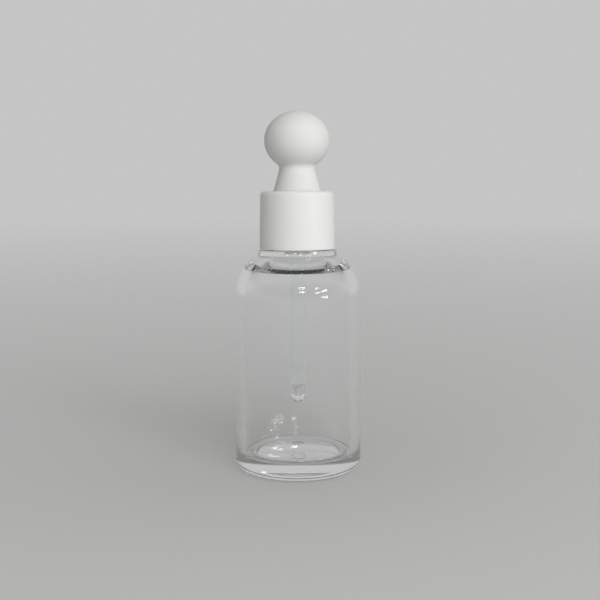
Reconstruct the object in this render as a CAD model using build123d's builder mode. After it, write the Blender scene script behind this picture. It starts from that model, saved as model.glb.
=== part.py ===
from build123d import *
import os
from math import acos, atan2, degrees

os.makedirs("parts", exist_ok=True)

# Driving dimensions of the bottle, in millimetres
BODY_RADIUS = 20.0
WALL = 3.0
HEEL_RADIUS = 2.9
SHOULDER_START = 55.0
SHOULDER_RADIUS = 14.8
STAND_INNER_RADIUS = 13.0
PUSH_UP = 1.8
FLOOR_THICKNESS = 5.0
FLOOR_DOME = 1.8
FLOOR_CORNER_RADIUS = 2.4

# Neck of the 20 mm screw finish, and the support ring below it
RING_RADIUS = 12.5
RING_HEIGHT = 1.7
RING_ROUND = 0.6
NECK_RADIUS = 8.95
NECK_WALL = 1.55
NECK_HEIGHT = 14.25
BORE_MOUTH_ROUND = 1.5
RIM_CHAMFER = 0.4

# Clearances between pieces
TURN_GAP = 0.25
RUNNING_GAP = 0.08
SNUG_GAP = 0.05
LOOSE_GAP = 0.2

# Wiper plug pressed into the neck
WIPER_FLANGE_OVERHANG = 0.3
WIPER_FLANGE = 0.9
WIPER_SLEEVE = 6.6
WIPER_WALL = 0.9
WIPER_EDGE = 0.2
WIPER_BARB = 0.22
WIPER_BARB_DROP = 1.2
WIPER_BARB_PITCH = 2.0
WIPER_BARBS = 2
WIPER_CONE = 2.6
WIPER_LIP = 1.2

# Glass pipette
TUBE_RADIUS = 2.65
TUBE_WALL = 0.8
GLASS_EDGE = 0.25
HEAD_STEP = 0.85
HEAD_LENGTH = 7.2
HEAD_FLARE = 2.6
FLARE_ROUND = 2.0
BEAD_RADIUS = 0.7
BEAD_RISE = 0.3
TIP_CLEAR_OF_FLOOR = 14.5
TIP_FACE_RADIUS = 1.3
BALL_INSET = 0.35
BALL_LENGTH = 5.4
TIP_NECK_INSET = 0.75
TIP_NECK_LENGTH = 1.8
TIP_NECK_ROUND = 1.0
TIP_BORE_RADIUS = 0.75

# Silicone bulb
BULB_RADIUS = 10.2
BULB_HALF_HEIGHT = 9.2
CROWN_RADIUS = 11.0
BULB_WALL = 1.6
BULB_CENTRE_RISE = 15.8
WAIST_RADIUS = 5.3
WAIST_ROUND = 1.6
FLARE_RADIUS = 7.25
FOOT_LIP = 0.55
FOOT_HEIGHT = 0.55
FOOT_ROUND = 0.8
FLANGE_OVERHANG = 0.45
FLANGE_THICKNESS = 1.5
THROAT_RADIUS = 3.0

# Screw collar
COLLAR_WALL = 1.7
COLLAR_TOP_WALL = 2.0
COLLAR_ROOF = 1.5
COLLAR_TOP_ROUND = 1.3
COLLAR_EDGE_CHAMFER = 0.25
THREAD_ROOM = 1.25
COLLAR_LAND_DEPTH = 1.7

# Heights worked out from the driving dimensions
shoulder_centre = BODY_RADIUS - SHOULDER_RADIUS
shoulder_sweep = degrees(acos((RING_RADIUS - shoulder_centre) / SHOULDER_RADIUS))
shoulder_rise = (SHOULDER_RADIUS**2 - (RING_RADIUS - shoulder_centre) ** 2) ** 0.5
ring_top = SHOULDER_START + shoulder_rise + RING_HEIGHT
neck_top = ring_top + NECK_HEIGHT
wiper_top = neck_top + WIPER_FLANGE
flange_top = wiper_top + FLANGE_THICKNESS
collar_top = flange_top + COLLAR_ROOF
collar_bottom = ring_top + TURN_GAP

# Bottle: one thick clear shell, revolved from its outer and inner outlines
bore_radius = NECK_RADIUS - NECK_WALL
inner_radius = BODY_RADIUS - WALL
inner_shoulder_radius = SHOULDER_RADIUS - WALL
inner_reach = bore_radius - shoulder_centre
inner_sweep = degrees(acos(inner_reach / inner_shoulder_radius))
bore_bottom = SHOULDER_START + (inner_shoulder_radius**2 - inner_reach**2) ** 0.5

with BuildPart() as bottle:
    with BuildSketch(Plane.XZ) as shell_profile:
        with BuildLine():
            stand_edge = (STAND_INNER_RADIUS, 0)
            push_up = TangentArc((0, PUSH_UP), stand_edge, tangent=(1, 0))
            stand = Line(push_up @ 1, (BODY_RADIUS - HEEL_RADIUS, 0))
            heel = CenterArc((BODY_RADIUS - HEEL_RADIUS, HEEL_RADIUS), HEEL_RADIUS, 270, 90)
            side = Line(heel @ 1, (BODY_RADIUS, SHOULDER_START))
            shoulder = CenterArc(
                (shoulder_centre, SHOULDER_START), SHOULDER_RADIUS, 0, shoulder_sweep
            )
            rim = Polyline(
                shoulder @ 1,
                (RING_RADIUS, ring_top),
                (NECK_RADIUS, ring_top),
                (NECK_RADIUS, neck_top),
                (bore_radius, neck_top),
                (bore_radius, bore_bottom),
            )
            inner_shoulder = CenterArc(
                (shoulder_centre, SHOULDER_START), inner_shoulder_radius, inner_sweep, -inner_sweep
            )
            inner_side = Line(inner_shoulder @ 1, (inner_radius, FLOOR_THICKNESS))
            floor = TangentArc(
                (0, FLOOR_THICKNESS + FLOOR_DOME), inner_side @ 1, tangent=(1, 0)
            )
            axis_line = Line((0, FLOOR_THICKNESS + FLOOR_DOME), (0, PUSH_UP))
        make_face()
        corners = shell_profile.vertices()
        fillet(corners.sort_by_distance((inner_radius, FLOOR_THICKNESS))[0], FLOOR_CORNER_RADIUS)
        fillet(corners.sort_by_distance((bore_radius, bore_bottom))[0], BORE_MOUTH_ROUND)
        fillet(corners.sort_by_distance((RING_RADIUS, ring_top))[0], RING_ROUND)
        chamfer(corners.sort_by_distance((NECK_RADIUS, neck_top))[0], RIM_CHAMFER)
    revolve(axis=Axis.Z)

bottle.part.label = "bottle"
export_step(bottle.part, "parts/bottle.step")

# Wiper: flange on the rim, barbed sleeve in the bore, cone and lip round the pipette
wiper_radius = NECK_RADIUS + WIPER_FLANGE_OVERHANG
sleeve_radius = bore_radius - SNUG_GAP - WIPER_BARB
sleeve_inner = sleeve_radius - WIPER_WALL
lip_inner = TUBE_RADIUS + RUNNING_GAP
lip_outer = lip_inner + WIPER_WALL
sleeve_bottom = neck_top - WIPER_SLEEVE
lip_bottom = sleeve_bottom - WIPER_LIP

with BuildPart() as wiper:
    with BuildSketch(Plane.XZ) as wiper_profile:
        with BuildLine():
            Polyline(
                (sleeve_inner, wiper_top),
                (wiper_radius, wiper_top),
                (wiper_radius, neck_top),
                (sleeve_radius, neck_top),
                (sleeve_radius, sleeve_bottom + WIPER_CONE),
                (lip_outer, sleeve_bottom),
                (lip_outer, lip_bottom),
                (lip_inner, lip_bottom),
                (lip_inner, sleeve_bottom + WIPER_WALL),
                (sleeve_inner, sleeve_bottom + WIPER_CONE + WIPER_WALL),
                close=True,
            )
        make_face()
        chamfer(wiper_profile.vertices().sort_by_distance((wiper_radius, wiper_top))[0], WIPER_EDGE)
        for index in range(WIPER_BARBS):
            barb_height = neck_top - WIPER_BARB_DROP - WIPER_BARB_PITCH * index
            with BuildLine():
                Polyline(
                    (sleeve_radius, barb_height + WIPER_BARB),
                    (sleeve_radius + WIPER_BARB, barb_height),
                    (sleeve_radius, barb_height - WIPER_BARB * 2),
                    close=True,
                )
            make_face()
    revolve(axis=Axis.Z)

wiper.part.label = "wiper"
export_step(wiper.part, "parts/wiper.step")

# Pipette: drawn glass tube with a flared, beaded head and a ball tip
head_radius = TUBE_RADIUS + HEAD_STEP
head_bottom = wiper_top + SNUG_GAP
head_top = head_bottom + HEAD_LENGTH
flare_bottom = head_bottom - HEAD_FLARE
bead_height = collar_top
tip_bottom = FLOOR_THICKNESS + FLOOR_DOME + TIP_CLEAR_OF_FLOOR
ball_radius = TUBE_RADIUS - BALL_INSET
ball_centre = tip_bottom + BALL_LENGTH / 2
ball_top = tip_bottom + BALL_LENGTH
tip_neck_radius = TUBE_RADIUS - TIP_NECK_INSET
tube_bottom = ball_top + TIP_NECK_LENGTH
tube_bore = TUBE_RADIUS - TUBE_WALL
head_bore = head_radius - TUBE_WALL

with BuildPart() as pipette:
    with BuildSketch(Plane.XZ) as glass_profile:
        with BuildLine():
            tip_face = Line((TIP_BORE_RADIUS, tip_bottom), (TIP_FACE_RADIUS, tip_bottom))
            ball = ThreePointArc(
                tip_face @ 1, (ball_radius, ball_centre), (tip_neck_radius, ball_top)
            )
            tube = Polyline(
                ball @ 1,
                (TUBE_RADIUS, tube_bottom),
                (TUBE_RADIUS, flare_bottom),
                (head_radius, head_bottom),
                (head_radius, head_top),
                (head_bore, head_top),
                (head_bore, head_bottom),
                (tube_bore, flare_bottom),
                (tube_bore, tube_bottom),
                (TIP_BORE_RADIUS, ball_centre),
                tip_face @ 0,
            )
        make_face()
        corners = glass_profile.vertices()
        fillet(corners.sort_by_distance(ball @ 1)[0], TIP_NECK_ROUND)
        for flared, straight in ((head_radius, TUBE_RADIUS), (head_bore, tube_bore)):
            fillet(corners.sort_by_distance((straight, flare_bottom))[0], FLARE_ROUND)
            fillet(corners.sort_by_distance((flared, head_bottom))[0], FLARE_ROUND)
        chamfer(corners.sort_by_distance((head_radius, head_top))[0], GLASS_EDGE)
    revolve(axis=Axis.Z)
    with BuildSketch(Plane.XZ) as retaining_bead:
        with Locations((head_radius + BEAD_RISE - BEAD_RADIUS, bead_height)):
            Circle(BEAD_RADIUS)
    revolve(axis=Axis.Z)

pipette.part.label = "pipette"
export_step(pipette.part, "parts/pipette.step")

# Bulb: hollow ball on a flared stem, gripped in the collar roof, with a socket for the glass
bulb_centre = collar_top + BULB_CENTRE_RISE
stem_bottom = collar_top + FOOT_HEIGHT
flange_radius = NECK_RADIUS + FLANGE_OVERHANG
socket_radius = head_radius + SNUG_GAP
socket_top = head_top + SNUG_GAP
crown_drop = CROWN_RADIUS - BULB_HALF_HEIGHT
cheek_radius = (CROWN_RADIUS**2 - BULB_RADIUS**2 - crown_drop**2) / (CROWN_RADIUS - BULB_RADIUS) / 2
cheek_centre = BULB_RADIUS - cheek_radius
cheek_angle = degrees(atan2(crown_drop, cheek_centre))


def ball_outline(inset, opening_radius):
    """Half of the ball's outline, inset from its skin, from the opening up to the crown."""
    crown = CROWN_RADIUS - inset
    opening_angle = degrees(acos(opening_radius / crown))
    lower_centre = (0, bulb_centre + crown_drop)
    upper_centre = (0, bulb_centre - crown_drop)
    lower = CenterArc(lower_centre, crown, -opening_angle, opening_angle - cheek_angle)
    CenterArc((cheek_centre, bulb_centre), cheek_radius - inset, -cheek_angle, 2 * cheek_angle)
    upper = CenterArc(upper_centre, crown, cheek_angle, 90 - cheek_angle)
    return lower @ 0, upper @ 1


with BuildPart() as bulb:
    with BuildSketch(Plane.XZ) as rubber_profile:
        with BuildLine():
            waist_end, crown_end = ball_outline(0, WAIST_RADIUS)
            throat_end, hollow_end = ball_outline(BULB_WALL, THROAT_RADIUS)
            crown_line = Line(crown_end, hollow_end)
            stem = Polyline(
                throat_end,
                (THROAT_RADIUS, socket_top),
                (socket_radius, socket_top),
                (socket_radius, wiper_top),
                (flange_radius, wiper_top),
                (flange_radius, flange_top),
                (FLARE_RADIUS, flange_top),
                (FLARE_RADIUS, collar_top),
                (FLARE_RADIUS + FOOT_LIP, collar_top),
                (FLARE_RADIUS, stem_bottom),
                waist_end,
            )
        make_face()
        corners = rubber_profile.vertices()
        fillet(corners.sort_by_distance(waist_end)[0], WAIST_ROUND)
        fillet(corners.sort_by_distance((FLARE_RADIUS, stem_bottom))[0], FOOT_ROUND)
    revolve(axis=Axis.Z)
    with BuildSketch(Plane.XZ) as groove_profile:
        with Locations((head_radius + BEAD_RISE - BEAD_RADIUS, bead_height)):
            Circle(BEAD_RADIUS + SNUG_GAP)
    revolve(axis=Axis.Z, mode=Mode.SUBTRACT)

bulb.part.label = "bulb"
export_step(bulb.part, "parts/bulb.step")

# Collar: smooth tapered skirt whose roof clamps the bulb flange on the wiper
roof_hole = FLARE_RADIUS + RUNNING_GAP
land_radius = flange_radius + LOOSE_GAP
skirt_bore = NECK_RADIUS + THREAD_ROOM
collar_base_radius = skirt_bore + COLLAR_WALL
collar_top_radius = land_radius + COLLAR_TOP_WALL
land_bottom = flange_top - COLLAR_LAND_DEPTH

with BuildPart() as collar:
    with BuildSketch(Plane.XZ) as collar_profile:
        with BuildLine():
            Polyline(
                (collar_base_radius, collar_bottom),
                (collar_top_radius, collar_top),
                (roof_hole, collar_top),
                (roof_hole, flange_top),
                (land_radius, flange_top),
                (land_radius, land_bottom),
                (skirt_bore, land_bottom),
                (skirt_bore, collar_bottom),
                close=True,
            )
        make_face()
        corners = collar_profile.vertices()
        fillet(corners.sort_by_distance((collar_top_radius, collar_top))[0], COLLAR_TOP_ROUND)
        foot_corners = corners.group_by(Axis.Y)[0]
        chamfer(foot_corners, COLLAR_EDGE_CHAMFER)
    revolve(axis=Axis.Z)

collar.part.label = "collar"
export_step(collar.part, "parts/collar.step")
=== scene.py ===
"""Dropper bottle: a clear thick-walled bottle, white collar, rubber bulb and glass pipette."""

from __future__ import annotations

import logging
import math
from dataclasses import dataclass, field, replace
from enum import Enum

import bmesh
import bpy
from mathutils import Euler, Matrix, Vector

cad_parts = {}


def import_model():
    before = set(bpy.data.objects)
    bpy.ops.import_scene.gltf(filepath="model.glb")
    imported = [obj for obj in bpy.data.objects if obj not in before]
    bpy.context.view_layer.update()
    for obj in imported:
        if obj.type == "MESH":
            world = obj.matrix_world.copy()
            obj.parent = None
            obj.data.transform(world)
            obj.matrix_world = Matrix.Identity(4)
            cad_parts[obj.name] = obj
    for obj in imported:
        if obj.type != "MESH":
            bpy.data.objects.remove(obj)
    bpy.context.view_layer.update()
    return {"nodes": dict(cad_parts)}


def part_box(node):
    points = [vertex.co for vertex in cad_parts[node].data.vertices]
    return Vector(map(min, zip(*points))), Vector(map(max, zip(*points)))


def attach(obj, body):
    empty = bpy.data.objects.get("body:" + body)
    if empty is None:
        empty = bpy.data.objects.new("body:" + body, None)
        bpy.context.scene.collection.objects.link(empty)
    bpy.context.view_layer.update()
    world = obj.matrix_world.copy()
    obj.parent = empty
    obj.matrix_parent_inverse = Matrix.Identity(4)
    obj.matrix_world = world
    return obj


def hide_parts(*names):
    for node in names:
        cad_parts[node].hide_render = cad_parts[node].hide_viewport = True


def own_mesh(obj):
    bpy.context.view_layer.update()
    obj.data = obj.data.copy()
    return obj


LOG = logging.getLogger("dropper_bottle")
MM = 0.001
TOUCH = 0.01
IMAGE_SIDE = 600
SENSOR = 36.0
SHARP_ANGLE = math.radians(35)
FINE_TURN = 224
PLAIN_TURN = 144
# How the shared surface effects stretch, and where scuffs and dust set in.
MOULD_STRETCH = (1.0, 1.0, 0.35)
SCUFF_STRETCH = (0.5, 0.5, 9.0)
SCUFF_RANGE = (0.6, 0.72)
DUST_RANGE = (0.66, 0.74)
DUST_GREY = 0.5
DUST_TINT = 0.4
GLOSS_LOW = 0.75
GLOSS_SWING = 0.5
# A colour mix node's sockets share their names with those of its other data types.
MIX_FIRST, MIX_SECOND, MIX_RESULT = 6, 7, 2

Colour = tuple[float, float, float]
Point = tuple[float, float, float]
Feed = float | tuple[float, ...] | bpy.types.NodeSocket


class Slot(Enum):
    """The material slots, by name."""

    PETG = "clear_petg"
    POLYETHYLENE = "natural_polyethylene"
    GLASS = "clear_glass"
    SILICONE = "white_silicone"
    POLYPROPYLENE = "white_polypropylene"


class Body(Enum):
    """The bodies that pieces ride on."""

    BOTTLE = "bottle"
    DROPPER = "dropper"
    COLLAR = "collar"


# Node helpers


def opaque(colour: Colour) -> tuple[float, float, float, float]:
    """Gives a colour its full alpha."""
    return (*colour, 1.0)


def grey(level: float) -> tuple[float, float, float, float]:
    """Makes an opaque grey."""
    return opaque((level, level, level))


class NodeTree:
    """A short way to add and join shader nodes in a material, a group or a world."""

    def __init__(self, tree: bpy.types.NodeTree) -> None:
        """Starts from an empty tree.

        Args:
            tree: the node tree to fill.
        """
        self.tree = tree
        self.column = 0
        tree.nodes.clear()

    def feed(self, target: bpy.types.NodeSocket, value: Feed) -> None:
        """Joins an output socket to an input, or sets the input to a plain value.

        Args:
            target: the input socket.
            value: the output socket or the plain value.
        """
        if isinstance(value, bpy.types.NodeSocket):
            self.tree.links.new(value, target)
        else:
            target.default_value = value

    def add(self, kind: str, *feeds: Feed, **settings: object) -> bpy.types.Node:
        """Adds a node.

        Args:
            kind: the node's type name.
            feeds: what its input sockets get, in their order.
            settings: properties of the node, or what its input sockets get, by name.

        Returns:
            The new node.
        """
        node = self.tree.nodes.new(kind)
        node.location = (self.column * 180, 0)
        self.column += 1
        for name, value in settings.items():
            socket = name.replace("_", " ").title()
            if socket in node.inputs:
                self.feed(node.inputs[socket], value)
            elif hasattr(node, name):
                setattr(node, name, value)
            else:
                raise KeyError(f"{kind} has no setting {name}")
        for target, value in zip(node.inputs, feeds):
            self.feed(target, value)
        return node

    def math(self, operation: str, *feeds: Feed, clamp: bool = False) -> bpy.types.NodeSocket:
        """Adds a math node and gives its result."""
        return self.add("ShaderNodeMath", *feeds, operation=operation, use_clamp=clamp).outputs[0]

    def ramp(
        self, value: Feed, low: float, high: float, kind: str = "LINEAR"
    ) -> bpy.types.NodeSocket:
        """Adds a node that takes a range of values to the range from 0 to 1.

        Args:
            value: what it reads.
            low: the value that becomes 0.
            high: the value that becomes 1.
            kind: how it runs between them.

        Returns:
            The result.
        """
        node = self.add("ShaderNodeMapRange", value, low, high, interpolation_type=kind)
        return node.outputs["Result"]

    def noise(
        self, place: Feed, scale: Feed, detail: float, roughness: float
    ) -> bpy.types.NodeSocket:
        """Adds a noise texture.

        Args:
            place: the coordinates.
            scale: how fine it is.
            detail: how many finer layers it has.
            roughness: how strong the finer layers are.

        Returns:
            The noise's value.
        """
        node = self.add(
            "ShaderNodeTexNoise", vector=place, scale=scale, detail=detail, roughness=roughness
        )
        return node.outputs["Fac"]

    def blend(self, share: Feed, first: Feed, second: Feed) -> bpy.types.NodeSocket:
        """Adds a colour mix.

        Args:
            share: how much of the second colour it takes.
            first: the colour at a share of 0.
            second: the colour at a share of 1.

        Returns:
            The mixed colour.
        """
        node = self.add("ShaderNodeMix", share, data_type="RGBA")
        self.feed(node.inputs[MIX_FIRST], first)
        self.feed(node.inputs[MIX_SECOND], second)
        return node.outputs[MIX_RESULT]

    def blend_shaders(
        self, share: Feed, first: bpy.types.Node, second: bpy.types.Node
    ) -> bpy.types.NodeSocket:
        """Adds a shader mix and gives its result."""
        mix = self.add("ShaderNodeMixShader", share, first.outputs[0], second.outputs[0])
        return mix.outputs[0]


class Effect(Enum):
    """The node groups that several materials share."""

    MOULDED = "moulded_surface"
    HANDLED = "handled_surface"


def group_tree(
    name: str, inputs: dict[str, float], outputs: tuple[str, ...]
) -> tuple[NodeTree, bpy.types.NodeOutputs, bpy.types.NodeInputs]:
    """Makes an empty shader group with number sockets.

    Args:
        name: the group's name.
        inputs: each input's name and first value.
        outputs: the outputs' names.

    Returns:
        The group's tree, the sockets that give its inputs and those that take its outputs.
    """
    made = bpy.data.node_groups.new(name, "ShaderNodeTree")
    for socket, value in inputs.items():
        item = made.interface.new_socket(socket, in_out="INPUT", socket_type="NodeSocketFloat")
        item.default_value = value
    for socket in outputs:
        made.interface.new_socket(socket, in_out="OUTPUT", socket_type="NodeSocketFloat")
    tree = NodeTree(made)
    return tree, tree.add("NodeGroupInput").outputs, tree.add("NodeGroupOutput").inputs


def moulded_group() -> bpy.types.NodeTree:
    """Makes the group of a moulded surface: soft waves, fine grain and flow along the axis.

    Returns:
        The group, with outputs Tone, Gloss and Relief.
    """
    tree, given, out = group_tree(
        Effect.MOULDED.value,
        {"Wave Scale": 60.0, "Grain Scale": 2600.0, "Wave": 0.6, "Grain": 0.2, "Tone Change": 0.02},
        ("Tone", "Gloss", "Relief"),
    )
    place = tree.add("ShaderNodeTexCoord").outputs["Object"]
    flow = tree.add("ShaderNodeMapping", vector=place, scale=MOULD_STRETCH).outputs["Vector"]
    wave = tree.noise(flow, given["Wave Scale"], detail=2.0, roughness=0.45)
    grain = tree.noise(place, given["Grain Scale"], detail=3.0, roughness=0.6)
    wave_part = tree.math("MULTIPLY", wave, given["Wave"])
    grain_part = tree.math("MULTIPLY", grain, given["Grain"])
    centred = tree.math("SUBTRACT", wave, 0.5)
    tree.feed(out["Relief"], tree.math("ADD", wave_part, grain_part))
    tree.feed(out["Tone"], tree.math("MULTIPLY_ADD", centred, given["Tone Change"], 1.0))
    tree.feed(out["Gloss"], tree.math("MULTIPLY_ADD", grain, GLOSS_SWING, GLOSS_LOW))
    return tree.tree


def handled_group() -> bpy.types.NodeTree:
    """Makes the group of light wear: thin scuffs round the piece and sparse dust specks.

    Returns:
        The group, with outputs Scuff and Dust.
    """
    tree, given, out = group_tree(
        Effect.HANDLED.value,
        {"Scuff Scale": 90.0, "Scuff Amount": 0.2, "Dust Scale": 900.0, "Dust Amount": 0.1},
        ("Scuff", "Dust"),
    )
    place = tree.add("ShaderNodeTexCoord").outputs["Object"]
    round_piece = tree.add("ShaderNodeMapping", vector=place, scale=SCUFF_STRETCH)
    line = tree.noise(
        round_piece.outputs["Vector"], given["Scuff Scale"], detail=4.0, roughness=0.7
    )
    thin = tree.ramp(line, *SCUFF_RANGE)
    tree.feed(out["Scuff"], tree.math("MULTIPLY", thin, given["Scuff Amount"]))
    speck = tree.noise(place, given["Dust Scale"], detail=1.0, roughness=0.5)
    sparse = tree.ramp(speck, *DUST_RANGE)
    tree.feed(out["Dust"], tree.math("MULTIPLY", sparse, given["Dust Amount"]))
    return tree.tree


@dataclass
class Effects:
    """The shared node groups, built once."""

    groups: dict[Effect, bpy.types.NodeTree] = field(default_factory=dict)

    def build(self) -> None:
        """Builds every shared group."""
        self.groups = {Effect.MOULDED: moulded_group(), Effect.HANDLED: handled_group()}

    def place(self, tree: NodeTree, effect: Effect, values: dict[str, float]) -> bpy.types.Node:
        """Places a shared group in a material.

        Args:
            tree: the material's nodes.
            effect: which group.
            values: the group's input values by name.

        Returns:
            The group node.
        """
        node = tree.add("ShaderNodeGroup")
        node.node_tree = self.groups[effect]
        for name, value in values.items():
            node.inputs[name].default_value = value
        return node


# Finishes


@dataclass(frozen=True)
class Finish:
    """What every finish has: colour, gloss and the strength of its surface detail."""

    name: str
    colour: Colour
    roughness: float
    ior: float
    wave_scale: float = 60.0
    grain_scale: float = 2600.0
    wave: float = 0.6
    grain: float = 0.2
    tone_change: float = 0.02
    bump_height: float = 0.02
    scuff: float = 0.1
    dust: float = 0.1

    def make(self, effects: Effects) -> bpy.types.Material:
        """Makes the finish's material.

        Args:
            effects: the shared node groups.

        Returns:
            The material.
        """
        material = bpy.data.materials.new(self.name)
        material.use_nodes = True
        tree = NodeTree(material.node_tree)
        moulded = effects.place(
            tree,
            Effect.MOULDED,
            {
                "Wave Scale": self.wave_scale,
                "Grain Scale": self.grain_scale,
                "Wave": self.wave,
                "Grain": self.grain,
                "Tone Change": self.tone_change,
            },
        ).outputs
        handled = effects.place(
            tree, Effect.HANDLED, {"Scuff Amount": self.scuff, "Dust Amount": self.dust}
        ).outputs
        tint = tree.add(
            "ShaderNodeVectorMath", self.colour, operation="SCALE", scale=moulded["Tone"]
        )
        settled = opaque(tuple(DUST_GREY + DUST_TINT * level for level in self.colour))
        rough = tree.math("MULTIPLY", moulded["Gloss"], self.roughness)
        bump = tree.add(
            "ShaderNodeBump", distance=self.bump_height * MM, height=moulded["Relief"]
        )
        shader = tree.add(
            "ShaderNodeBsdfPrincipled",
            base_color=tree.blend(handled["Dust"], tint.outputs[0], settled),
            roughness=tree.math("ADD", rough, handled["Scuff"], clamp=True),
            normal=bump.outputs["Normal"],
        )
        shader.inputs["IOR"].default_value = self.ior
        tree.add("ShaderNodeOutputMaterial", self.refined(tree, shader))
        return material

    def refined(self, tree: NodeTree, shader: bpy.types.Node) -> bpy.types.NodeSocket:
        """Adds what only this kind of finish has, and gives the surface to show."""
        raise NotImplementedError


@dataclass(frozen=True)
class ClearFinish(Finish):
    """A clear finish: light bends through it, and shadow rays pass with a little loss."""

    shade_loss: float = 0.1

    def refined(self, tree: NodeTree, shader: bpy.types.Node) -> bpy.types.NodeSocket:
        """Makes the shader clear.

        Args:
            tree: the material's nodes.
            shader: its Principled shader.

        Returns:
            The surface to show.
        """
        shader.inputs["Transmission Weight"].default_value = 1.0
        path = tree.add("ShaderNodeLightPath").outputs
        soft = tree.math("MAXIMUM", path["Is Shadow Ray"], path["Is Diffuse Ray"])
        clear = tree.add("ShaderNodeBsdfTransparent", color=grey(1.0 - self.shade_loss))
        return tree.blend_shaders(soft, shader, clear)


@dataclass(frozen=True)
class SoftFinish(Finish):
    """A white plastic or rubber finish that lets a little light in under its skin."""

    depth: float = 0.6
    share: float = 0.15

    def refined(self, tree: NodeTree, shader: bpy.types.Node) -> bpy.types.NodeSocket:
        """Lets light in under the skin.

        Args:
            tree: the material's nodes.
            shader: its Principled shader.

        Returns:
            The surface to show.
        """
        shader.inputs["Subsurface Weight"].default_value = self.share
        shader.inputs["Subsurface Scale"].default_value = self.depth * MM
        shader.inputs["Subsurface Radius"].default_value = (1.0, 0.85, 0.7)
        return shader.outputs[0]


CLEAR_PETG = ClearFinish(
    Slot.PETG.value,
    colour=(0.985, 0.992, 0.988),
    roughness=0.012,
    ior=1.57,
    wave_scale=45.0,
    wave=1.0,
    grain=0.0,
    tone_change=0.01,
    bump_height=0.007,
    scuff=0.0,
    dust=0.0,
)
CLEAR_GLASS = ClearFinish(
    Slot.GLASS.value,
    colour=(0.975, 0.99, 0.985),
    roughness=0.006,
    ior=1.48,
    wave_scale=120.0,
    wave=1.0,
    grain=0.0,
    tone_change=0.01,
    bump_height=0.0002,
    scuff=0.0,
    dust=0.0,
)
WHITE_SILICONE = SoftFinish(
    Slot.SILICONE.value,
    colour=(0.73, 0.73, 0.715),
    roughness=0.62,
    ior=1.41,
    wave_scale=90.0,
    grain_scale=5200.0,
    wave=0.5,
    grain=0.5,
    tone_change=0.05,
    bump_height=0.03,
    scuff=0.08,
    dust=0.25,
    depth=1.0,
    share=0.25,
)
WHITE_POLYPROPYLENE = SoftFinish(
    Slot.POLYPROPYLENE.value,
    colour=(0.78, 0.78, 0.765),
    roughness=0.36,
    ior=1.49,
    wave_scale=70.0,
    grain_scale=3600.0,
    wave=0.5,
    grain=0.25,
    tone_change=0.03,
    bump_height=0.02,
    scuff=0.1,
    dust=0.1,
    depth=0.5,
    share=0.12,
)
NATURAL_POLYETHYLENE = SoftFinish(
    Slot.POLYETHYLENE.value,
    colour=(0.78, 0.79, 0.77),
    roughness=0.42,
    ior=1.51,
    wave_scale=110.0,
    wave=0.6,
    grain=0.3,
    tone_change=0.04,
    bump_height=0.02,
    scuff=0.05,
    dust=0.0,
    depth=1.6,
    share=0.6,
)


# Turned shapes


class Lathe:
    """Draws an outline beside the axis with a moving tip, then turns it about the axis."""

    def __init__(self, radius: float, height: float) -> None:
        """Puts the tip at its first point.

        Args:
            radius: distance from the axis, in mm.
            height: height, in mm.
        """
        self.mesh = bmesh.new()
        self.first = self.mesh.verts.new(Vector((radius, 0.0, height)) * MM)
        self.tip = self.first
        self.roundings: list[tuple[bmesh.types.BMVert, float, int]] = []

    def line(self, radius: float, height: float, steps: int = 1) -> None:
        """Draws a straight line.

        Args:
            radius: its end's distance from the axis, in mm.
            height: its end's height, in mm.
            steps: how many equal edges it has.
        """
        start = self.tip.co.copy()
        end = Vector((radius, 0.0, height)) * MM
        for step in range(1, steps + 1):
            made = bmesh.ops.extrude_vert_indiv(self.mesh, verts=[self.tip])
            self.tip = made["verts"][0]
            self.tip.co = start.lerp(end, step / steps)

    def arc(self, radius: float, height: float, sweep: float, steps: int) -> None:
        """Draws an arc round a centre.

        Args:
            radius: the centre's distance from the axis, in mm.
            height: the centre's height, in mm.
            sweep: degrees, positive anticlockwise with the axis upright on the left.
            steps: how many edges it has.
        """
        made = bmesh.ops.spin(
            self.mesh,
            geom=[self.tip],
            cent=Vector((radius, 0.0, height)) * MM,
            axis=(0.0, -1.0, 0.0),
            angle=math.radians(sweep),
            steps=steps,
            use_duplicate=False,
        )
        self.tip = next(v for v in made["geom_last"] if isinstance(v, bmesh.types.BMVert))

    def round_tip(self, rounding: float, steps: int) -> None:
        """Remembers the rounding that the tip gets, in mm and in edges."""
        self.roundings.append((self.tip, rounding, steps))

    def corner(self, radius: float, height: float, rounding: float, steps: int = 5) -> None:
        """Draws a line to a corner that gets rounded, in mm and in edges."""
        self.line(radius, height)
        self.round_tip(rounding, steps)

    def close(self) -> None:
        """Joins the tip to the first point."""
        self.mesh.edges.new((self.tip, self.first))

    def round_corners(self) -> None:
        """Rounds the marked corners, each by its own length along its two edges."""
        for vertex, rounding, steps in self.roundings:
            bmesh.ops.bevel(
                self.mesh,
                geom=[vertex],
                offset=rounding * MM,
                offset_type="OFFSET",
                affect="VERTICES",
                segments=steps,
                profile=0.5,
                material=-1,
            )

    def turn(self, name: str, steps: int) -> bpy.types.Object:
        """Turns the outline once about the axis and makes an object of it.

        Args:
            name: the piece's name.
            steps: how many strips the turn has.

        Returns:
            The piece, at the origin.
        """
        self.round_corners()
        bmesh.ops.spin(
            self.mesh,
            geom=list(self.mesh.verts) + list(self.mesh.edges),
            cent=(0.0, 0.0, 0.0),
            axis=(0.0, 0.0, 1.0),
            angle=math.tau,
            steps=steps,
            use_merge=True,
            use_duplicate=False,
        )
        return finished(self.mesh, name)


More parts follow.
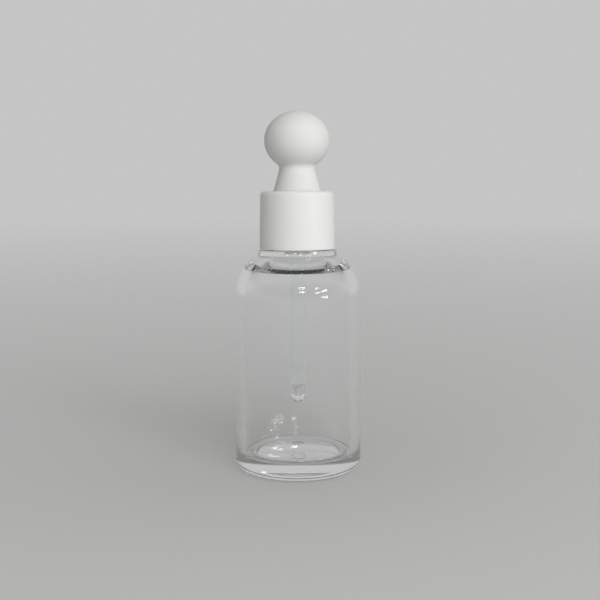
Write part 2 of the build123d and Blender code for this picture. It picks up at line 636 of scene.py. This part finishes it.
def finished(mesh: bmesh.types.BMesh, name: str) -> bpy.types.Object:
    """Merges doubles, turns the faces outwards and makes an object with smooth shading.

    Args:
        mesh: the built mesh, which is freed.
        name: the piece's name.

    Returns:
        The piece, at the origin.
    """
    bmesh.ops.remove_doubles(mesh, verts=mesh.verts, dist=0.0005 * MM)
    bmesh.ops.recalc_face_normals(mesh, faces=mesh.faces)
    data = bpy.data.meshes.new(name)
    mesh.to_mesh(data)
    mesh.free()
    data.shade_smooth()
    data.set_sharp_from_angle(angle=SHARP_ANGLE)
    piece = bpy.data.objects.new(name, data)
    bpy.context.scene.collection.objects.link(piece)
    return piece


def dress(piece: bpy.types.Object, material: bpy.types.Material) -> None:
    """Gives a piece one material through its object's slot.

    Args:
        piece: the piece or CAD node.
        material: what it gets.
    """
    if not piece.material_slots:
        piece.data.materials.append(None)
    for slot in piece.material_slots:
        slot.link = "OBJECT"
        slot.material = material


# Sub-assemblies


@dataclass
class ClearBottle:
    """The thick clear bottle. Lengths in mm."""

    radius: float = 20.0
    wall: float = 3.0
    heel: float = 2.9
    shoulder_start: float = 55.0
    shoulder: float = 14.8
    stand_inner: float = 13.0
    stand_round: float = 0.35
    recess: float = 12.2
    recess_depth: float = 0.3
    recess_dome: float = 0.3
    floor: float = 5.0
    floor_dome: float = 1.8
    gate: float = 3.0
    gate_depth: float = 0.3
    gate_flat: float = 1.8
    gate_edge: float = 0.4
    gate_round: float = 0.6
    floor_corner: float = 1.1
    ceiling: float = 62.3
    ceiling_crease: float = 11.1
    ceiling_edge: float = 0.12
    throat_height: float = 65.5
    throat_round: float = 3.2
    ring_radius: float = 12.5
    ring_height: float = 1.7
    ring_round: float = 0.15
    neck_radius: float = 8.95
    neck_wall: float = 1.55
    neck_height: float = 14.25
    rim_round: float = 0.4
    rim_outer_round: float = 0.36
    thread_crest: float = 0.85
    thread_pitch: float = 3.175
    thread_turns: float = 1.5
    thread_drop: float = 2.0
    thread_base: float = 1.5
    thread_top: float = 0.5
    thread_clear: float = 0.5
    thread_run_out: float = 25.0

    @property
    def shoulder_centre(self) -> float:
        """Distance of the shoulder arc's centre from the axis."""
        return self.radius - self.shoulder

    @property
    def ring_bottom(self) -> float:
        """Height where the shoulder meets the ring."""
        reach = self.ring_radius - self.shoulder_centre
        return self.shoulder_start + math.sqrt(self.shoulder**2 - reach**2)

    @property
    def ring_top(self) -> float:
        """Height of the ring's upper face."""
        return self.ring_bottom + self.ring_height

    @property
    def neck_top(self) -> float:
        """Height of the rim."""
        return self.ring_top + self.neck_height

    @property
    def bore(self) -> float:
        """Radius of the neck's bore."""
        return self.neck_radius - self.neck_wall

    def outline(self) -> Lathe:
        """Draws the outline of the wall, from the axis below to the axis above the floor.

        Returns:
            The lathe, ready to turn.
        """
        lathe = Lathe(0.0, self.recess_depth + self.recess_dome)
        self.draw_underside(lathe)
        self.draw_skin(lathe)
        self.draw_ceiling(lathe)
        self.draw_floor(lathe)
        return lathe

    def draw_underside(self, lathe: Lathe) -> None:
        """Draws the push-up and the standing ring.

        Args:
            lathe: the lathe that draws them, with its tip on the axis.
        """
        arch = (self.recess**2 + self.recess_dome**2) / (2 * self.recess_dome)
        sweep = math.degrees(math.asin(self.recess / arch))
        lathe.arc(0.0, self.recess_depth + self.recess_dome - arch, -sweep, 12)
        lathe.round_tip(self.stand_round, 4)
        lathe.corner(self.stand_inner, 0.0, self.stand_round, 4)
        lathe.line(self.radius - self.heel, 0.0, 3)

    def draw_skin(self, lathe: Lathe) -> None:
        """Draws the outside from the heel to the rim.

        Args:
            lathe: the lathe that draws it, with its tip at the heel's start.
        """
        sweep = math.degrees(math.acos((self.ring_radius - self.shoulder_centre) / self.shoulder))
        lathe.arc(self.radius - self.heel, self.heel, 90, 20)
        lathe.line(self.radius, self.shoulder_start, 24)
        lathe.arc(self.shoulder_centre, self.shoulder_start, sweep, 32)
        lathe.corner(self.ring_radius, self.ring_top, self.ring_round)
        lathe.line(self.neck_radius, self.ring_top)
        lathe.line(self.neck_radius, self.neck_top - self.rim_round, 96)
        lathe.corner(self.neck_radius, self.neck_top, self.rim_outer_round)
        lathe.corner(self.bore, self.neck_top, self.rim_round)

    def draw_ceiling(self, lathe: Lathe) -> None:
        """Draws the bore, its funnel, the flat step below the neck and the inner shoulder.

        Args:
            lathe: the lathe that draws them, with its tip on the rim.
        """
        inner = self.shoulder - self.wall
        sweep = math.degrees(math.asin((self.ceiling - self.shoulder_start) / inner))
        reach = self.shoulder_centre + inner * math.cos(math.radians(sweep))
        lathe.corner(self.bore, self.throat_height, self.throat_round, 12)
        lathe.corner(self.ceiling_crease, self.ceiling, self.ceiling_edge, 4)
        lathe.corner(reach, self.ceiling, self.ceiling_edge, 4)
        lathe.arc(self.shoulder_centre, self.shoulder_start, -sweep, 24)

    def draw_floor(self, lathe: Lathe) -> None:
        """Draws the inner wall, the domed floor and the dimple in its middle.

        Args:
            lathe: the lathe that draws them, with its tip at the inner shoulder's foot.
        """
        inside = self.radius - self.wall
        dome = (inside**2 + self.floor_dome**2) / (2 * self.floor_dome)
        dome_centre = self.floor + self.floor_dome - dome
        corner_reach = inside - self.floor_corner
        corner_turn = math.degrees(math.asin(corner_reach / (dome + self.floor_corner)))
        corner_height = dome_centre + corner_reach / math.tan(math.radians(corner_turn))
        gate_turn = math.degrees(math.asin(self.gate / dome))
        lathe.line(inside, corner_height, 24)
        lathe.arc(corner_reach, corner_height, corner_turn - 180, 16)
        lathe.arc(0.0, dome_centre, corner_turn - gate_turn, 40)
        lathe.round_tip(self.gate_edge, 4)
        bottom = lathe.tip.co.z / MM - self.gate_depth
        lathe.corner(self.gate_flat, bottom, self.gate_round, 4)
        lathe.line(0.0, lathe.tip.co.z / MM)

    def raise_thread(self, piece: bpy.types.Object) -> None:
        """Raises the screw thread out of the neck wall, with run-outs at both ends.

        Args:
            piece: the turned bottle.
        """
        top = self.neck_top - self.thread_drop
        whole = self.thread_turns * math.tau
        run_out = math.radians(self.thread_run_out)
        lowest = self.ring_top + self.thread_clear
        for vertex in piece.data.vertices:
            radius = math.hypot(vertex.co.x, vertex.co.y) / MM
            height = vertex.co.z / MM
            if abs(radius - self.neck_radius) > TOUCH or height < lowest:
                continue
            turned = math.atan2(vertex.co.y, vertex.co.x) % math.tau
            for lap in range(math.ceil(self.thread_turns) + 1):
                along = turned + lap * math.tau
                if along > whole:
                    continue
                crest = top - (whole - along) / math.tau * self.thread_pitch
                off = abs(height - crest)
                slope = (self.thread_base / 2 - off) / ((self.thread_base - self.thread_top) / 2)
                ends = min(along, whole - along) / run_out
                rise = self.thread_crest * max(0.0, min(1.0, slope)) * max(0.0, min(1.0, ends))
                if rise > 0.0:
                    grow = (radius + rise) / radius
                    vertex.co.x *= grow
                    vertex.co.y *= grow

    def build(self, effects: Effects) -> bpy.types.Object:
        """Builds and dresses the bottle.

        Args:
            effects: the shared node groups.

        Returns:
            The bottle.
        """
        piece = self.outline().turn("clear_bottle", FINE_TURN)
        self.raise_thread(piece)
        piece.data.set_sharp_from_angle(angle=SHARP_ANGLE)
        dress(piece, CLEAR_PETG.make(effects))
        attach(piece, Body.BOTTLE.value)
        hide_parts("bottle")
        return piece


@dataclass
class GlassPipette:
    """The glass tube with its flared head and ball tip. Lengths in mm."""

    wiper_top: float
    collar_top: float
    seat_gap: float = 0.05
    tip_bottom: float = 21.3
    radius: float = 2.65
    wall: float = 0.8
    head_step: float = 0.85
    head_length: float = 7.2
    flare: float = 2.6
    ball_inset: float = 0.35
    ball_length: float = 5.4
    neck_inset: float = 0.75
    neck_length: float = 1.8
    face: float = 1.3
    tip_bore: float = 0.75
    bead: float = 0.6
    bend_round: float = 0.9
    bend_steps: int = 6
    bend_run: float = 1.0
    bore_run: float = 1.5
    lip_round: float = 0.25

    def build(self, effects: Effects) -> bpy.types.Object:
        """Builds and dresses the pipette.

        Args:
            effects: the shared node groups.

        Returns:
            The pipette.
        """
        bend = (self.bend_round, self.bend_steps)
        ball = self.radius - self.ball_inset
        neck = self.radius - self.neck_inset
        half = self.ball_length / 2
        centre = self.tip_bottom + half
        tube_bottom = self.tip_bottom + self.ball_length + self.neck_length
        head = self.radius + self.head_step
        head_bottom = self.wiper_top + self.seat_gap
        head_top = head_bottom + self.head_length
        flare_bottom = head_bottom - self.flare
        bore, head_bore = self.radius - self.wall, head - self.wall
        lower = self.bulge(self.face, ball, half)
        upper = self.bulge(neck, ball, half)
        lathe = Lathe(self.tip_bore, self.tip_bottom)
        lathe.line(self.face, self.tip_bottom)
        lathe.arc(ball - lower[0], centre, lower[1], 12)
        lathe.arc(ball - upper[0], centre, upper[1], 12)
        lathe.corner(self.radius, tube_bottom, *bend)
        lathe.line(self.radius, flare_bottom - self.bend_run, 12)
        lathe.corner(self.radius, flare_bottom, *bend)
        lathe.corner(head, head_bottom, *bend)
        lathe.line(head, self.collar_top - self.bead)
        lathe.arc(head, self.collar_top, 180, 10)
        lathe.corner(head, head_top, self.lip_round, 4)
        lathe.corner(head_bore, head_top, self.lip_round, 4)
        lathe.corner(head_bore, head_bottom, *bend)
        lathe.corner(bore, flare_bottom, *bend)
        lathe.line(bore, flare_bottom - self.bore_run)
        lathe.line(bore, tube_bottom + self.bend_run, 12)
        lathe.corner(bore, tube_bottom, *bend)
        lathe.corner(self.tip_bore, centre, *bend)
        lathe.close()
        piece = lathe.turn("glass_pipette", PLAIN_TURN)
        dress(piece, CLEAR_GLASS.make(effects))
        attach(piece, Body.DROPPER.value)
        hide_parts("pipette")
        return piece

    @staticmethod
    def bulge(end: float, widest: float, half: float) -> tuple[float, float]:
        """Works out the arc that swells from an end radius to the widest radius.

        Args:
            end: radius at the end of the bulge.
            widest: radius at its middle.
            half: height from the end to the middle.

        Returns:
            The arc's radius and its sweep in degrees.
        """
        rise = widest - end
        radius = (half**2 + rise**2) / (2 * rise)
        return radius, math.degrees(math.asin(half / radius))


@dataclass
class RubberBulb:
    """The white ball on its flared stem. Lengths in mm."""

    collar_top: float
    wiper_top: float
    pipette_top: float
    seat_gap: float = 0.05
    radius: float = 10.2
    half_height: float = 9.2
    crown: float = 11.0
    wall: float = 1.6
    centre_rise: float = 15.8
    waist: float = 5.3
    waist_round: float = 1.8
    flare: float = 7.25
    foot_lip: float = 0.55
    foot_height: float = 0.55
    foot_gap: float = 0.02
    foot_round: float = 0.2
    stem_round: float = 0.3
    flange: float = 9.4
    flange_thickness: float = 1.5
    flange_round: float = 0.15
    socket: float = 3.55
    throat: float = 3.0
    press: float = 5.0

    def hug(
        self, lathe: Lathe, corner: tuple[float, float], crown: tuple[float, float]
    ) -> float:
        """Draws the stem's side and the round waist that runs into the ball.

        Args:
            lathe: the lathe that draws it, with its tip at the stem's foot.
            corner: where side and ball would meet without the round.
            crown: centre of the ball's lower arc.

        Returns:
            The radius where the ball begins.
        """
        foot = Vector((lathe.tip.co.x, lathe.tip.co.z)) / MM
        along = (Vector(corner) - foot).normalized()
        aside = Vector((along.y, -along.x))
        offset = foot + aside * self.waist_round - Vector(crown)
        reach = self.crown + self.waist_round
        slope = along.dot(offset)
        length = -slope - math.sqrt(slope**2 - offset.length_squared + reach**2)
        start = foot + along * length
        centre = start + aside * self.waist_round
        end = centre + (Vector(crown) - centre) * self.waist_round / reach
        turned = (start - centre).angle_signed(end - centre)
        lathe.line(start.x, start.y, 16)
        lathe.arc(centre.x, centre.y, -math.degrees(turned), 12)
        return end.x

    def ball(self, lathe: Lathe, inset: float, opening: float, upwards: bool) -> None:
        """Draws half of the ball's outline in three arcs.

        Args:
            lathe: the lathe that draws it.
            inset: how far it lies inside the skin.
            opening: radius of the opening at the bottom.
            upwards: True from the opening to the crown, False back down.
        """
        centre = self.collar_top + self.centre_rise
        drop = self.crown - self.half_height
        cheek = (self.crown**2 - self.radius**2 - drop**2) / (self.crown - self.radius) / 2
        angle = math.degrees(math.atan2(drop, self.radius - cheek))
        start = math.degrees(math.acos(opening / (self.crown - inset)))
        arcs = [
            (0.0, centre + drop, start - angle, 16),
            (self.radius - cheek, centre, 2 * angle, 16),
            (0.0, centre - drop, 90 - angle, 24),
        ]
        for reach, height, sweep, steps in arcs if upwards else reversed(arcs):
            lathe.arc(reach, height, sweep if upwards else -sweep, steps)

    def build(self, effects: Effects) -> bpy.types.Object:
        """Builds and dresses the bulb.

        Args:
            effects: the shared node groups.

        Returns:
            The bulb.
        """
        centre = self.collar_top + self.centre_rise
        drop = self.crown - self.half_height
        lower = centre + drop
        waist_height = lower - math.sqrt(self.crown**2 - self.waist**2)
        hollow = self.crown - self.wall
        throat_height = lower - math.sqrt(hollow**2 - self.throat**2)
        socket_top = self.pipette_top + self.seat_gap
        flange_top = self.wiper_top + self.flange_thickness
        foot = self.collar_top + self.foot_gap
        lathe = Lathe(self.throat, throat_height)
        lathe.line(self.throat, socket_top, 4)
        lathe.corner(self.socket, socket_top, self.flange_round, 3)
        lathe.line(self.socket, self.wiper_top, 8)
        lathe.corner(self.flange, self.wiper_top, self.flange_round, 3)
        lathe.corner(self.flange, flange_top, self.flange_round, 3)
        lathe.line(self.flare, flange_top, 2)
        lathe.line(self.flare, foot, 2)
        lathe.corner(self.flare + self.foot_lip, foot, self.foot_round, 4)
        lathe.line(self.flare, self.collar_top + self.foot_height, 2)
        lathe.round_tip(self.stem_round, 6)
        opening = self.hug(lathe, (self.waist, waist_height), (0.0, lower))
        self.ball(lathe, 0.0, opening, True)
        lathe.line(0.0, centre + self.half_height - self.wall, 2)
        self.ball(lathe, self.wall, self.throat, False)
        piece = lathe.turn("rubber_bulb", FINE_TURN)
        dress(piece, WHITE_SILICONE.make(effects))
        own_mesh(piece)
        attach(piece, Body.DROPPER.value)
        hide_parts("bulb")
        return piece


@dataclass
class ScrewCollar:
    """The collar, whose solid stays, and the thread inside it. Lengths in mm."""

    bottom: float
    bore: float = 10.2
    ridge: float = 0.3
    width: float = 1.1
    sunk: float = 0.08
    pitch: float = 3.175
    turns: float = 1.6
    rise: float = 2.2
    steps: int = 240

    def build(self, node: bpy.types.Object, effects: Effects) -> bpy.types.Object:
        """Dresses the collar and cuts its inner thread.

        Args:
            node: the collar's solid from the frame.
            effects: the shared node groups.

        Returns:
            The thread.
        """
        finish = WHITE_POLYPROPYLENE.make(effects)
        dress(node, finish)
        root = self.bore + self.sunk
        crest = self.bore - self.ridge
        low = self.bottom + self.rise
        corners = [
            (root, low - self.width / 2),
            (crest, low - self.width / 6),
            (crest, low + self.width / 6),
            (root, low + self.width / 2),
        ]
        mesh = bmesh.new()
        verts = [mesh.verts.new(Vector((r, 0.0, z)) * MM) for r, z in corners]
        face = mesh.faces.new(verts)
        bmesh.ops.spin(
            mesh,
            geom=[face, *verts, *face.edges],
            cent=(0.0, 0.0, 0.0),
            axis=(0.0, 0.0, 1.0),
            dvec=(0.0, 0.0, self.turns * self.pitch * MM / self.steps),
            angle=self.turns * math.tau,
            steps=self.steps,
            use_duplicate=False,
        )
        piece = finished(mesh, "collar_thread")
        dress(piece, finish)
        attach(piece, Body.COLLAR.value)
        return piece


@dataclass
class NeckWiper:
    """The milky plug in the neck, whose solid stays."""

    def build(self, node: bpy.types.Object, effects: Effects) -> bpy.types.Object:
        """Dresses the wiper's solid."""
        dress(node, NATURAL_POLYETHYLENE.make(effects))
        return node


# Studio


@dataclass(frozen=True)
class Lamp:
    """An area lamp that faces the bottle.

    Azimuth in degrees from the camera's side, positive to the right, elevation in degrees above
    the floor, lengths in m, power in W. Clear and glossy surfaces show a mirrored lamp.
    """

    name: str
    azimuth: float
    elevation: float
    size: tuple[float, float]
    power: float
    distance: float = 1.2
    spread: float = 0.0
    mirrored: bool = True
    aim: Point = (0.0, 0.0, 0.06)

    def row(self, number: int, side: float) -> Lamp:
        """Gives the lamp of one row, which stands above or below this one by its spread."""
        return replace(
            self, name=f"{self.name}_{number}", elevation=self.elevation + side * self.spread
        )

    def build(self) -> None:
        """Builds the lamp."""
        data = bpy.data.lights.new(self.name, "AREA")
        data.shape = "RECTANGLE"
        data.size, data.size_y = self.size
        data.energy = self.power
        lamp = bpy.data.objects.new(self.name, data)
        bpy.context.scene.collection.objects.link(lamp)
        turn, lift = math.radians(self.azimuth), math.radians(self.elevation)
        level = math.cos(lift)
        way = Vector((math.sin(turn) * level, -math.cos(turn) * level, math.sin(lift)))
        lamp.location = Vector(self.aim) + way * self.distance
        lamp.rotation_euler = way.to_track_quat("Z", "Y").to_euler()
        lamp.visible_camera = False
        lamp.visible_glossy = self.mirrored
        lamp.visible_transmission = self.mirrored


KEY_LAMP = Lamp("key", 25, 30, size=(1.0, 1.0), power=11.2, distance=1.3, mirrored=False)
WINDOW_LAMPS = (
    Lamp("window_front", 8.4, 22.6, size=(0.22, 0.05), power=0.42, spread=5.0),
    Lamp("window_right", 38.3, 19.0, size=(0.16, 0.05), power=0.3, spread=5.0),
    Lamp("window_side", 51.5, 9.6, size=(0.16, 0.08), power=0.45, spread=7.0),
)


@dataclass(frozen=True)
class PhotoCamera:
    """The camera at the photograph's angle. Place in mm, angles in degrees."""

    place: Point = (0.78, -274.5, 85.1)
    downward: float = 5.0
    roll: float = -0.264
    focal_pixels: float = 871.0
    shift: float = -0.04
    nearest: float = 10.0

    def build(self) -> None:
        """Builds the camera."""
        data = bpy.data.cameras.new("camera")
        data.sensor_width = SENSOR
        data.lens = self.focal_pixels / IMAGE_SIDE * SENSOR
        data.shift_y = self.shift
        data.clip_start = self.nearest * MM
        camera = bpy.data.objects.new("camera", data)
        bpy.context.scene.collection.objects.link(camera)
        tilt = Euler((math.radians(90 - self.downward), 0.0, 0.0)).to_matrix().to_4x4()
        roll = Matrix.Rotation(math.radians(self.roll), 4, "Z")
        camera.matrix_world = Matrix.Translation(Vector(self.place) * MM) @ tilt @ roll
        bpy.context.scene.camera = camera


@dataclass
class Studio:
    """Floor, backdrop, lamps and camera. Lengths in m, greys and colours linear."""

    backdrop: float = 0.56
    ground: float = 0.66
    fill_left: Colour = (0.185, 0.18, 0.165)
    fill_right: Colour = (0.38, 0.38, 0.38)
    high: Colour = (0.28, 0.25, 0.27)
    climb_start: float = 0.15
    climb_end: float = 0.42
    climb_lean: float = 0.22
    floor_radius: float = 4.0
    fade_near: float = 3.2
    fade_far: float = 0.25
    camera_gap: float = 0.27
    clear_bounces: int = 40
    glossy_bounces: int = 24
    passing_bounces: int = 32

    def floor(self) -> bpy.types.Object:
        """Makes the floor, which fades into the backdrop's grey far from the object.

        Returns:
            The floor.
        """
        mesh = bmesh.new()
        bmesh.ops.create_circle(mesh, cap_ends=True, segments=96, radius=self.floor_radius)
        piece = finished(mesh, "studio_floor")
        material = bpy.data.materials.new("studio_floor")
        material.use_nodes = True
        tree = NodeTree(material.node_tree)
        place = tree.add("ShaderNodeTexCoord").outputs["Object"]
        far = tree.add("ShaderNodeVectorMath", place, operation="LENGTH").outputs["Value"]
        nearness = tree.math("DIVIDE", 1.0, tree.math("ADD", far, self.camera_gap))
        fade = tree.ramp(nearness, self.fade_near, self.fade_far)
        near = tree.add("ShaderNodeBsdfDiffuse", color=grey(self.ground))
        glow = tree.add("ShaderNodeEmission", color=grey(self.backdrop))
        tree.add("ShaderNodeOutputMaterial", tree.blend_shaders(fade, near, glow))
        dress(piece, material)
        return piece

    def world(self) -> None:
        """Makes the world: even soft light, and a plain grey backdrop for camera and glass."""
        world = bpy.data.worlds.new("studio_world")
        bpy.context.scene.world = world
        world.use_nodes = True
        tree = NodeTree(world.node_tree)
        place = tree.add("ShaderNodeTexCoord").outputs["Generated"]
        way = tree.add("ShaderNodeSeparateXYZ", place).outputs
        side = tree.ramp(way["X"], -1.0, 1.0)
        fill = tree.blend(side, opaque(self.fill_left), opaque(self.fill_right))
        light = tree.add("ShaderNodeBackground", color=fill)
        leaning = tree.math("MULTIPLY_ADD", way["Y"], -self.climb_lean, way["Z"])
        climb = tree.ramp(leaning, self.climb_start, self.climb_end, "SMOOTHSTEP")
        grade = tree.blend(climb, grey(self.backdrop), opaque(self.high))
        plain = tree.add("ShaderNodeBackground", color=grade)
        path = tree.add("ShaderNodeLightPath").outputs
        seen = tree.math("MAXIMUM", path["Is Camera Ray"], path["Is Glossy Ray"])
        shown = tree.math("MAXIMUM", seen, path["Is Transmission Ray"])
        tree.add("ShaderNodeOutputWorld", tree.blend_shaders(shown, light, plain))

    def build(self) -> None:
        """Builds the whole studio."""
        self.floor()
        self.world()
        KEY_LAMP.build()
        for number, side in enumerate((-1.0, 1.0)):
            for lamp in WINDOW_LAMPS:
                lamp.row(number, side).build()
        PhotoCamera().build()
        scene = bpy.context.scene
        scene.view_settings.view_transform = "Standard"
        scene.cycles.max_bounces = self.clear_bounces
        scene.cycles.transmission_bounces = self.clear_bounces
        scene.cycles.glossy_bounces = self.glossy_bounces
        scene.cycles.transparent_max_bounces = self.passing_bounces


def main() -> None:
    """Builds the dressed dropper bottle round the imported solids."""
    logging.basicConfig(level=logging.INFO, format="%(name)s: %(message)s")
    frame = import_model()
    effects = Effects()
    effects.build()
    bottle = ClearBottle()
    wiper_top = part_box("wiper")[1].z / MM
    collar_low, collar_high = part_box("collar")
    collar_top = collar_high.z / MM
    pipette_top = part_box("pipette")[1].z / MM
    pipette = GlassPipette(wiper_top=wiper_top, collar_top=collar_top)
    bulb = RubberBulb(collar_top=collar_top, wiper_top=wiper_top, pipette_top=pipette_top)
    collar = ScrewCollar(bottom=collar_low.z / MM)
    made = [
        bottle.build(effects),
        NeckWiper().build(frame["nodes"]["wiper"], effects),
        pipette.build(effects),
        bulb.build(effects),
        collar.build(frame["nodes"]["collar"], effects),
    ]
    for piece in made:
        corners = [Vector(c) / MM for c in piece.bound_box]
        low = min(c.z for c in corners)
        high = max(c.z for c in corners)
        LOG.info("%s: %d faces, z %.2f to %.2f", piece.name, len(piece.data.polygons), low, high)
    Studio().build()


if __name__ == "__main__":
    main()
